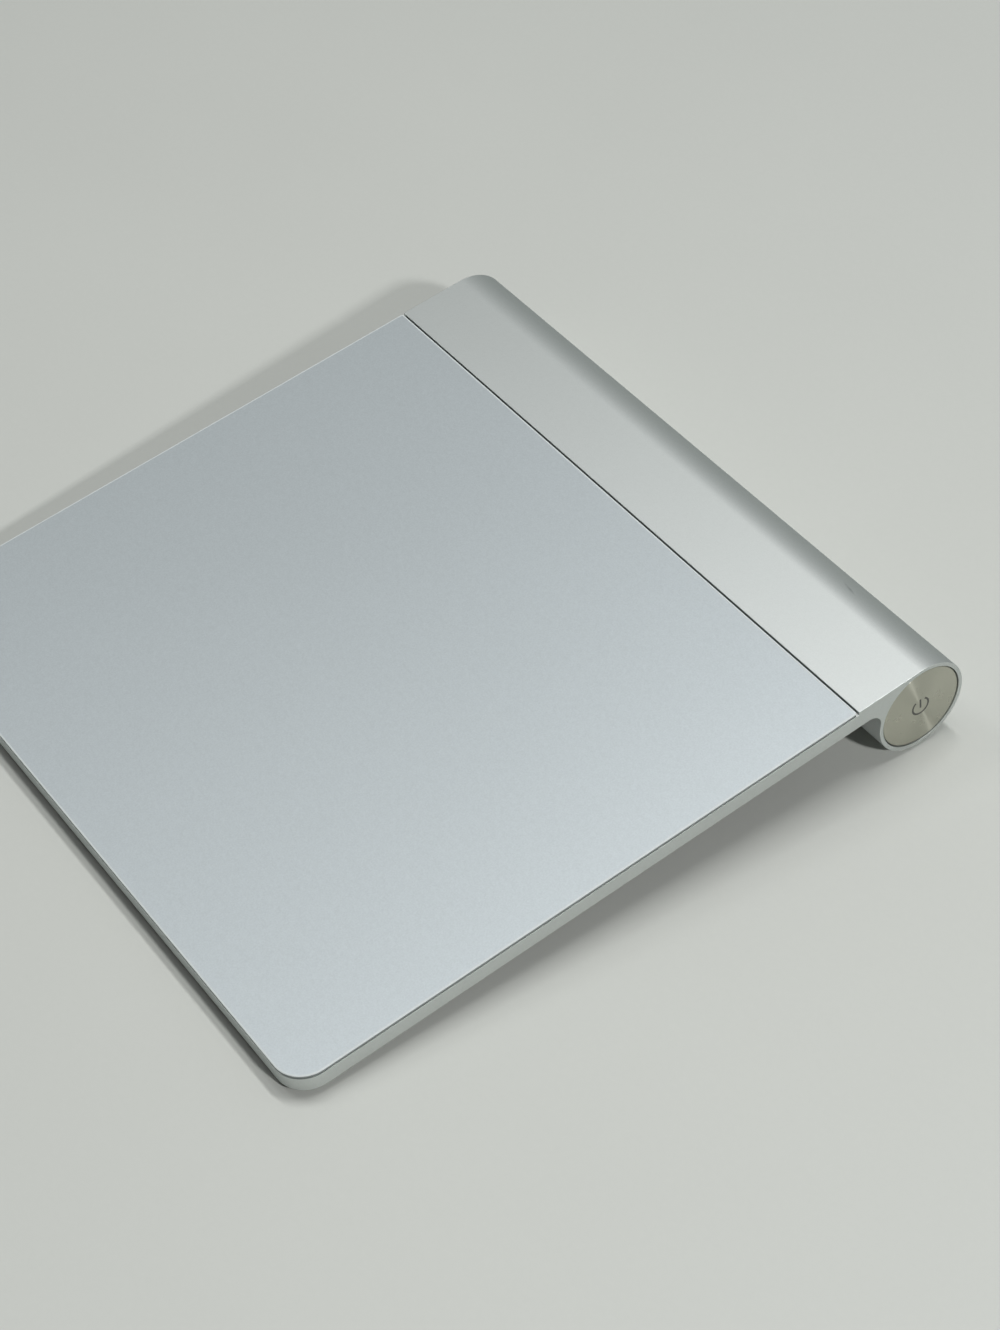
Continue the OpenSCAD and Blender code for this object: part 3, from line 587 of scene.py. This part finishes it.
def ribbon_film():
    """Amber film with copper lines under it."""
    made = finish("ribbon film", tone(186, 124, 52), roughness=0.34, grain=0.3, relief=0.04)
    tree = made.node_tree
    where = add(tree, "ShaderNodeTexCoord")
    lines = add(tree, "ShaderNodeTexWave", wave_type="BANDS", bands_direction="X")
    lines.inputs["Scale"].default_value = 480.0
    tree.links.new(where.outputs["Object"], lines.inputs["Vector"])
    tree.links.new(mix_colour(tree, lines.outputs["Fac"], tone(176, 112, 44), tone(206, 146, 84)),
                   part_of(made, "tone drift").inputs["Colour"])
    return made


def cell_jacket():
    """Dark foil jacket that leaves the steel can bare at both ends of a cell."""
    jacket_mid, bare_from, bare_to = 0.49, 0.455, 0.46
    foil, can = tone(60, 64, 72), tone(200, 200, 198)
    made = finish("cell jacket", foil, roughness=0.34, grain=0.4, relief=0.03, Metallic=0.6)
    tree = made.node_tree
    along = place_on_axis(tree)[0]
    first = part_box("battery_left")[0].x
    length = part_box("battery_right")[0].x - first
    cells = math_node(tree, "DIVIDE", math_node(tree, "SUBTRACT", along, first), length)
    share = math_node(tree, "FRACT", cells, 0.0)
    end = math_node(tree, "ABSOLUTE", math_node(tree, "SUBTRACT", share, jacket_mid), 0.0)
    bare = spread_to(tree, end, 0.0, 1.0, bare_from, bare_to)
    tree.links.new(mix_colour(tree, bare, foil, can), part_of(made, "tone drift").inputs["Colour"])
    return made


def wound_coil():
    """Copper wire wound in turns one above the other, with painted shade between the turns and a painted
    highlight along each turn.
    """
    made = finish("wound coil", tone(190, 112, 70), roughness=0.34, grain=0.2, relief=0.04, Metallic=1.0)
    tree = made.node_tree
    where = add(tree, "ShaderNodeTexCoord")
    turns = add(tree, "ShaderNodeTexWave", wave_type="BANDS", bands_direction="Z")
    turns.inputs["Scale"].default_value = 2200.0
    tree.links.new(where.outputs["Object"], turns.inputs["Vector"])
    # dark and light bands: painted shade in the grooves between turns, painted highlight on each turn
    tree.links.new(mix_colour(tree, turns.outputs["Fac"], tone(120, 62, 36), tone(206, 128, 84)),
                   part_of(made, "tone drift").inputs["Colour"])
    return made


aluminium = blasted_aluminium()
glass_face = satin_glass()
glass_edge = polished_glass_edge()
glass_bevel = bevel_with_painted_highlight()
spun = spun_aluminium()
ink = sign_ink()
bond = black_bond()
plastic = pale_plastic()
cover_plastic = slate_plastic()
rubber = grey_rubber()
steel = rolled_steel()
brass = plated_brass()
board = masked_board()
film = ribbon_film()
moulding = dark_plastic()
jacket = cell_jacket()

CAD_FINISHES = {
    bond: ["glass_bond", "cover_tape"],
    board: ["touch_sensor_board", "logic_board", "power_switch_board"],
    film: ["sensor_ribbon", "power_ribbon"],
    moulding: ["ribbon_connectors", "board_chips", "click_switch", "contact_plug", "button_collar"],
    steel: ["radio_can", "board_screws", "rail_screws", "pivot_pins", "door_thread_ring", "click_bar",
            "button_clip", "negative_spring"],
    brass: ["positive_contact", "click_adjuster", "spring_seat"],
    aluminium: ["pivot_rail"],
    plastic: ["battery_sleeve"],
    jacket: ["battery_left", "battery_right"],
    pale_ceramic(): ["radio_antenna"],
    wound_coil(): ["power_coil"],
}
for look, names in CAD_FINISHES.items():
    for name in names:
        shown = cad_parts[name].data
        shown.materials.clear()
        shown.materials.append(look)


# Chassis

def corner_trimmer(side):
    """What comes off a square front corner to round it."""
    clear, steps = 2, 32
    outline = (arc((HALF_W - CORNER_R, CORNER_R), CORNER_R, 0, -90, steps)
               + [(HALF_W - CORNER_R, -clear), (HALF_W + clear, -clear), (HALF_W + clear, CORNER_R)])
    outline = [(side * x, y) for x, y in outline]
    return stacked("corner trimmer", [at_height(outline, -SLAB_T - clear), at_height(outline, clear)])


def pocket(name, outline, low, top):
    return stacked(name, [at_height(outline, low), at_height(outline, top)])


def make_chassis():
    """The extruded slab and tube, with its window, pocket, rabbet and bore cut out."""
    rear_ledge = 4
    corner_steps, rabbet_steps = 8, 12
    section = chassis_section()
    made = stacked("chassis", [[(x, y, z) for y, z in section] for x in (-HALF_W, HALF_W)])
    window = plan(HALF_W - LEDGE_W, LEDGE_W, POCKET_REAR - rear_ledge, POCKET_R, POCKET_R, corner_steps)
    hollow = plan(HALF_W - WALL_W, WALL_W, POCKET_REAR, POCKET_R, POCKET_R, corner_steps)
    rabbet = plan(HALF_W - RIM_W, RIM_W, COVER_REAR, CORNER_R - RIM_W, POCKET_R, rabbet_steps)
    left, right = -HALF_W - OVERCUT, HALF_W + OVERCUT
    carve(made, [
        corner_trimmer(-1),
        corner_trimmer(1),
        pocket("glass window", window, LEDGE_Z - OVERCUT, OVERCUT),
        pocket("board pocket", hollow, TAPE_Z - OVERCUT, LEDGE_Z),
        pocket("cover rabbet", rabbet, -SLAB_T - OVERCUT, TAPE_Z),
        turned("bore", [(left, 0), (left, BORE_R), (right, BORE_R), (right, 0)]),
    ])
    break_edges(made, EDGE_R)
    return place(made, "chassis", ["aluminium_chassis"], [aluminium])


make_chassis()


# Touch glass

def make_glass():
    """A plate whose sides are polished, with a bevel round the satin face whose pale colour is a painted
    highlight.
    """
    under_edge, steps = 0.05, 32
    bevel = [(0.04, -0.05), (0.09, -0.012), (0.14, 0.0), (0.31, 0.0)]
    bevel_foot = -0.12
    caps, polished_bands = 2, 2
    bevel_slot, face_slot = 1, 2

    def ring(inset, height):
        return at_height(plan(HALF_W - GLASS_INSET - inset, GLASS_INSET + inset, GLASS_RUN - inset,
                              CORNER_R - GLASS_INSET - inset, GLASS_REAR_R - inset, steps), height)
    rings = [ring(under_edge, -GLASS_T), ring(0.0, under_edge - GLASS_T), ring(0.0, bevel_foot)]
    rings += [ring(inset, height) for inset, height in bevel]
    count = len(rings[0])
    made = place(stacked("touch_plate", rings), "chassis", ["touch_glass"],
                 [glass_edge, glass_bevel, glass_face])
    faces = made.data.polygons
    faces[1].material_index = face_slot
    # the bevel faces take the pale finish, a painted highlight round the rim
    for face in faces[caps + polished_bands * count:]:
        face.material_index = bevel_slot
    return made


make_glass()


# Power button with its sign, and the clip groove on its stem

CAP_STEPS = 192


def soft_rim(face, inward):
    """The rounded rim of a cap, from its face to its side."""
    rounding = [(0.0, 0.2), (0.03, 0.09), (0.09, 0.03), (0.2, 0.0)]
    return [(face + inward * depth, CAP_R - drop) for depth, drop in rounding]


def make_button():
    """A cap on a stem, with a groove in the stem for the clip."""
    back, stem, stem_end = 63.25, 2.0, 59.18
    groove, groove_out, groove_in = 1.6, 60.2, 59.76
    made = turned("button_cap", [(BUTTON_FACE, 0)] + soft_rim(BUTTON_FACE, -1) + [
        (back + EDGE_R, CAP_R), (back, CAP_R - EDGE_R), (back, stem), (groove_out, stem),
        (groove_out, groove), (groove_in, groove), (groove_in, stem), (stem_end + EDGE_R, stem),
        (stem_end, stem - EDGE_R), (stem_end, 0)], CAP_STEPS)
    return place(made, "power_button", ["power_button"], [spun])


def sign_strip(centre_line):
    """A thin raised stroke on the button's face, along points of run and height."""
    width, proud, sunk = 0.36, 0.012, 0.01
    left, right = [], []
    for i, (y, z) in enumerate(centre_line):
        before, after = centre_line[max(i - 1, 0)], centre_line[min(i + 1, len(centre_line) - 1)]
        along = Vector((after[0] - before[0], after[1] - before[1])).normalized()
        left.append((y - along.y * width / 2, z + along.x * width / 2))
        right.append((y + along.y * width / 2, z - along.x * width / 2))
    outline = left + right[::-1]
    return [[(x, y, z) for y, z in outline] for x in (BUTTON_FACE - sunk, BUTTON_FACE + proud)]


def make_sign():
    """The generic power sign: an open ring and a bar."""
    mid_run, mid_up = TUBE_RUN - 0.05, 0.15 - TUBE_R
    ring_r, ring_from, ring_to, ring_steps = 1.65, 126, 414, 60
    bar_down, bar_up = 0.4, 1.65
    ring_line = arc((mid_run, mid_up), ring_r, ring_from, ring_to, ring_steps)
    bar_line = [(mid_run, mid_up - bar_down), (mid_run, mid_up + bar_up)]
    ring = stacked("power_sign", sign_strip(ring_line))
    bar = stacked("power_sign_bar", sign_strip(bar_line))
    for made in (ring, bar):
        place(made, "power_button", [], [ink])


make_button()
make_sign()


# Battery door with its coin slot and thread

def door_thread(skirt):
    """Two turns of thread round the skirt, fading out at both ends."""
    pitch, turns, steps, start = 1.25, 2.0, 72, -62.55
    root, crest, root_half, crest_half = 7.1, 7.62, 0.35, 0.175
    run_out, thin_end, sunk = 12.0, 0.02, 0.05
    shell = bmesh.new()
    before = None
    last = int(turns * steps)
    for i in range(last + 1):
        angle = 2 * math.pi * i / steps
        fade = min(1.0, run_out * min(i, last - i) / last + thin_end)
        top = skirt - sunk + (crest - skirt + sunk) * fade
        station = start + pitch * i / steps
        ring = []
        for r, shift in ((root, -root_half), (top, -crest_half), (top, crest_half), (root, root_half)):
            run = TUBE_RUN + r * math.sin(angle)
            ring.append(shell.verts.new((station + shift, run, -TUBE_R - r * math.cos(angle))))
        if before:
            for k in range(4):
                shell.faces.new([before[k], before[(k + 1) % 4], ring[(k + 1) % 4], ring[k]])
        else:
            shell.faces.new(ring)
        before = ring
    shell.faces.new(before[::-1])
    bmesh.ops.recalc_face_normals(shell, faces=shell.faces)
    mesh = bpy.data.meshes.new("door thread")
    shell.to_mesh(mesh)
    shell.free()
    return piece("door thread", mesh)


def make_door():
    """A screw cap: head, threaded skirt, and inside it the lip that holds the spring's seat."""
    back, end = -63.4, -59.2
    skirt, inner, lead = 7.22, 6.42, 0.15
    lip_in, lip = -62.56, 0.4
    lip_out, lip_r = lip_in + lip, inner - lip
    made = turned("battery_cap", [(DOOR_FACE, 0)] + soft_rim(DOOR_FACE, 1) + [
        (back - EDGE_R, CAP_R), (back, CAP_R - EDGE_R), (back, skirt), (end - lead, skirt),
        (end, skirt - lead), (end, inner), (lip_out, inner), (lip_out, lip_r), (lip_in, lip_r),
        (lip_in, inner), (back, inner), (back, 0)], CAP_STEPS)
    slot_half, slot_reach, depth = 0.8, 5.5, 0.8
    slot_edge, least_angle = 0.08, 50
    outline = [(TUBE_RUN - slot_reach, -TUBE_R - slot_half), (TUBE_RUN + slot_reach, -TUBE_R - slot_half),
               (TUBE_RUN + slot_reach, slot_half - TUBE_R), (TUBE_RUN - slot_reach, slot_half - TUBE_R)]
    ends = (DOOR_FACE - OVERCUT, DOOR_FACE + depth)
    carve(made, [stacked("coin", [[(x, y, z) for y, z in outline] for x in ends])])
    break_edges(made, slot_edge, least=least_angle)
    carve(made, [door_thread(skirt)], "UNION")
    return place(made, "battery_door", ["battery_door"], [spun])


make_door()


# Bottom cover

def make_cover():
    """A plate with a rounded lower edge and a countersunk hole for each front foot."""
    gap = RIM_W + COVER_GAP
    corner_steps, hole_steps = 16, 96
    rounding = [(0.16, 0.0), (0.05, 0.05), (0.0, 0.16)]
    sink_wide, sink_deep, below = 0.25, 0.2, 0.05

    def ring(inset, height):
        return at_height(plan(HALF_W - gap - inset, gap + inset, COVER_REAR - COVER_GAP - inset,
                              CORNER_R - gap - inset, POCKET_R - COVER_GAP - inset, corner_steps), height)
    made = stacked("cover_plate", [ring(inset, rise - SLAB_T) for inset, rise in rounding]
                   + [ring(0.0, COVER_Z)])
    holes = []
    for side in (-1, 1):
        mid = (side * FOOT_X, FOOT_RUN)
        hole = FOOT_R + FOOT_GAP
        holes.append(stacked("foot hole", [
            at_height(circle(mid, hole + sink_wide, hole_steps), -SLAB_T - below),
            at_height(circle(mid, hole, hole_steps), sink_deep - SLAB_T),
            at_height(circle(mid, hole, hole_steps), COVER_Z + OVERCUT)]))
    carve(made, holes)
    return place(made, "chassis", ["bottom_cover"], [cover_plastic])


make_cover()


# Feet

def on_table(x, run, above):
    """Slope point over the table at this height, straight along the foot's axis."""
    return (x, run, (above - SLOPE_Z - run * math.sin(TILT)) / math.cos(TILT))


def make_front_foot(side, name):
    """A pad flat on the table, with a flange inside the cover and a plug up into the bar."""
    steps = 72
    rounding = [(0.0, 0.45), (0.05, 0.2), (0.18, 0.05), (0.4, 0.0)]
    flange_z = COVER_Z + 0.02

    def ring(radius):
        return circle((side * FOOT_X, FOOT_RUN), radius, steps)
    sole = [[on_table(x, y, above) for x, y in ring(FOOT_R - inset)] for above, inset in rounding]
    made = stacked(name + "_pad", sole + [
        at_height(ring(FOOT_R), flange_z),
        at_height(ring(FOOT_FLANGE_R), flange_z),
        at_height(ring(FOOT_FLANGE_R), BAR_LOW),
        at_height(ring(FOOT_PLUG_R), BAR_LOW),
        at_height(ring(FOOT_PLUG_R), BAR_TOP)])
    return place(made, "click_bar", [name], [rubber])


def make_rear_strip():
    """A round-ended strip, flat on the table and seated on the tube."""
    straight, steps = STRIP_HALF - STRIP_R, 24
    rounding = [(0.3, 0.0), (0.1, 0.05), (0.02, 0.15), (0.0, 0.3)]

    def outline(inset):
        return (arc((straight, AXIS_Y), STRIP_R - inset, -90, 90, steps)
                + arc((-straight, AXIS_Y), STRIP_R - inset, 90, 270, steps))
    top = [(x, y, AXIS_Z - math.sqrt(TUBE_R ** 2 - (y - AXIS_Y) ** 2)) for x, y in outline(0.0)]
    made = stacked("rear_strip", [at_height(outline(inset), rise) for inset, rise in rounding] + [top])
    return place(made, "chassis", ["rear_foot_strip"], [rubber], METRES)


make_front_foot(-1, "front_foot_left")
make_front_foot(1, "front_foot_right")
make_rear_strip()


# Snap domes of the two switches, under the bar and the button

def dome_line(height, base_r, steps=12):
    """Height and radius from the rim of a dome to near its tip."""
    rim = 0.03
    radii = [base_r * (1 - i / steps) for i in range(steps)]
    return [(0.0, base_r)] + [(rim + (height - rim) * (1 - (r / base_r) ** 2), r) for r in radii]


DOME_STEPS = 48


def make_click_dome():
    """Hangs under the click switch, with its tip on the bar."""
    top, height, base_r, run = -1.4, 0.38, 2.0, 20.0
    made = stacked("click_snap_dome", [
        at_height(circle((0.0, run), r, DOME_STEPS), top - h) for h, r in dome_line(height, base_r)])
    place(made, "chassis", ["click_dome"], [steel])
    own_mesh(made)


def make_power_dome():
    """Stands on the switch board in the tube, with its tip on the button's stem."""
    base, height, base_r = 58.26, 0.9, 2.5
    line = [(base + h, r) for h, r in dome_line(height, base_r)]
    made = turned("power_snap_dome", [(base, 0)] + line + [(base + height, 0)], DOME_STEPS)
    place(made, "chassis", ["power_dome"], [steel])
    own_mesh(made)


make_click_dome()
make_power_dome()


# Table, light and camera

PALE_WALL = (0.37, 0.40, 0.39, 1.0)
DIM_CEILING = (0.09, 0.10, 0.10, 1.0)
DIM_CORNER = (0.02, 0.02, 0.02, 1.0)
BRIGHT_SIDE = (-0.4, 0.7, 0.59)
CEILING_PANEL = (0.58, 0.1)
SIDE_LAMP = (0.96, 0.02, 0.715)
SIDE_LAMP_SIZE = (0.08, 0.08)
SENSOR_W = 36.0
FOCAL_BY_WIDTH = 2.8945
EYE_AT = (0.299776, -0.180832, 0.352190)
EYE_AHEAD = (-0.58829, 0.38960, -0.70861)
EYE_UP = (-0.56334, 0.43121, 0.70477)


def looked_at(tree):
    """One where the eye, a reflection or a look through glass meets a surface, nought for plain light."""
    path = add(tree, "ShaderNodeLightPath")
    clear = math_node(tree, "MAXIMUM", path.outputs["Is Glossy Ray"], path.outputs["Is Transmission Ray"])
    return math_node(tree, "MAXIMUM", path.outputs["Is Camera Ray"], clear)


def table_top():
    """Matt pale table that runs out into the wall's tone well away from the trackpad."""
    fade_from, fade_to = 0.35, 1.1
    made = finish("pale table", tone(201, 203, 198), roughness=0.6, grain=1.2, relief=0.02,
                  drift=0.04, patch=60.0, speckle=0.012, spread=0.05)
    tree = made.node_tree
    where = add(tree, "ShaderNodeTexCoord")
    away = add(tree, "ShaderNodeVectorMath", operation="LENGTH")
    tree.links.new(where.outputs["Object"], away.inputs[0])
    far = spread_to(tree, away.outputs["Value"], 0.0, 1.0, fade_from, fade_to)
    wall = add(tree, "ShaderNodeEmission")
    wall.inputs["Color"].default_value = PALE_WALL
    ground = add(tree, "ShaderNodeMixShader")
    tree.links.new(math_node(tree, "MULTIPLY", far, looked_at(tree)), ground.inputs["Fac"])
    tree.links.new(tree.nodes["Principled BSDF"].outputs["BSDF"], ground.inputs[1])
    tree.links.new(wall.outputs["Emission"], ground.inputs[2])
    tree.links.new(ground.outputs["Shader"], tree.nodes["Material Output"].inputs["Surface"])
    return made


def make_table():
    reach = 6.0
    mesh = bpy.data.meshes.new("table")
    corners = [(-reach, -reach, 0), (reach, -reach, 0), (reach, reach, 0), (-reach, reach, 0)]
    mesh.from_pydata(corners, [], [[0, 1, 2, 3]])
    made = piece("table", mesh)
    mesh.materials.append(table_top())


def make_room():
    """Dim light from the room, weakest from the front and right; pale walls and a dim ceiling."""
    dim_to, ceiling_from, ceiling_to = 0.2, 0.1, 0.9
    world = bpy.data.worlds.new("studio")
    bpy.context.scene.world = world
    world.use_nodes = True
    tree = world.node_tree
    where = add(tree, "ShaderNodeTexCoord")
    facing = add(tree, "ShaderNodeVectorMath", operation="DOT_PRODUCT")
    facing.inputs[1].default_value = BRIGHT_SIDE
    ramp = add(tree, "ShaderNodeValToRGB")
    tree.links.new(where.outputs["Generated"], facing.inputs[0])
    tree.links.new(spread_to(tree, facing.outputs["Value"], 0.0, 1.0, dim_to, 1.0), ramp.inputs["Fac"])
    near, far = ramp.color_ramp.elements
    near.color = DIM_CORNER
    far.color = PALE_WALL
    parts = add(tree, "ShaderNodeSeparateXYZ")
    tree.links.new(where.outputs["Generated"], parts.inputs[0])
    overhead = spread_to(tree, parts.outputs["Z"], 0.0, 1.0, ceiling_from, ceiling_to)
    walls = mix_colour(tree, overhead, PALE_WALL, DIM_CEILING)
    shown = mix_colour(tree, looked_at(tree), ramp.outputs["Color"], walls)
    tree.links.new(shown, tree.nodes["Background"].inputs["Color"])


def panel(name, where, size, power, in_gloss=True):
    """A soft square lamp aimed at the trackpad; one out of gloss lights matt surfaces only."""
    lamp = bpy.data.lights.new(name, "AREA")
    lamp.shape = "RECTANGLE"
    lamp.size, lamp.size_y = size
    lamp.energy = power
    made = bpy.data.objects.new(name, lamp)
    bpy.context.scene.collection.objects.link(made)
    made.location = where
    made.visible_glossy = in_gloss
    made.rotation_euler = (-Vector(where)).to_track_quat("-Z", "Y").to_euler()


def make_camera():
    """Stands where the photo was taken from, in front on the right."""
    lens = bpy.data.cameras.new("photo view")
    lens.sensor_fit = "HORIZONTAL"
    lens.sensor_width = SENSOR_W
    lens.lens = SENSOR_W * FOCAL_BY_WIDTH
    lens.clip_start = 0.01
    made = bpy.data.objects.new("photo view", lens)
    bpy.context.scene.collection.objects.link(made)
    ahead = Vector(EYE_AHEAD).normalized()
    right = ahead.cross(Vector(EYE_UP)).normalized()
    up = right.cross(ahead)
    turn = Matrix((right, up, -ahead)).transposed()
    made.matrix_world = Matrix.Translation(EYE_AT) @ turn.to_4x4()
    bpy.context.scene.camera = made


make_table()
make_room()
panel("front ceiling panel", where=(-0.01, 0.04, 1.0), size=CEILING_PANEL, power=0.84)
panel("rear ceiling panel", where=(-0.01, 0.28, 1.0), size=CEILING_PANEL, power=4.0)
panel("side lamp", where=SIDE_LAMP, size=SIDE_LAMP_SIZE, power=3.25)
panel("side lamp for the table", where=SIDE_LAMP, size=SIDE_LAMP_SIZE, power=3.5, in_gloss=False)
panel("front fill", where=(-0.5, -0.28, 0.95), size=(0.3, 0.3), power=1.1)
make_camera()
bpy.context.scene.view_settings.view_transform = "Standard"
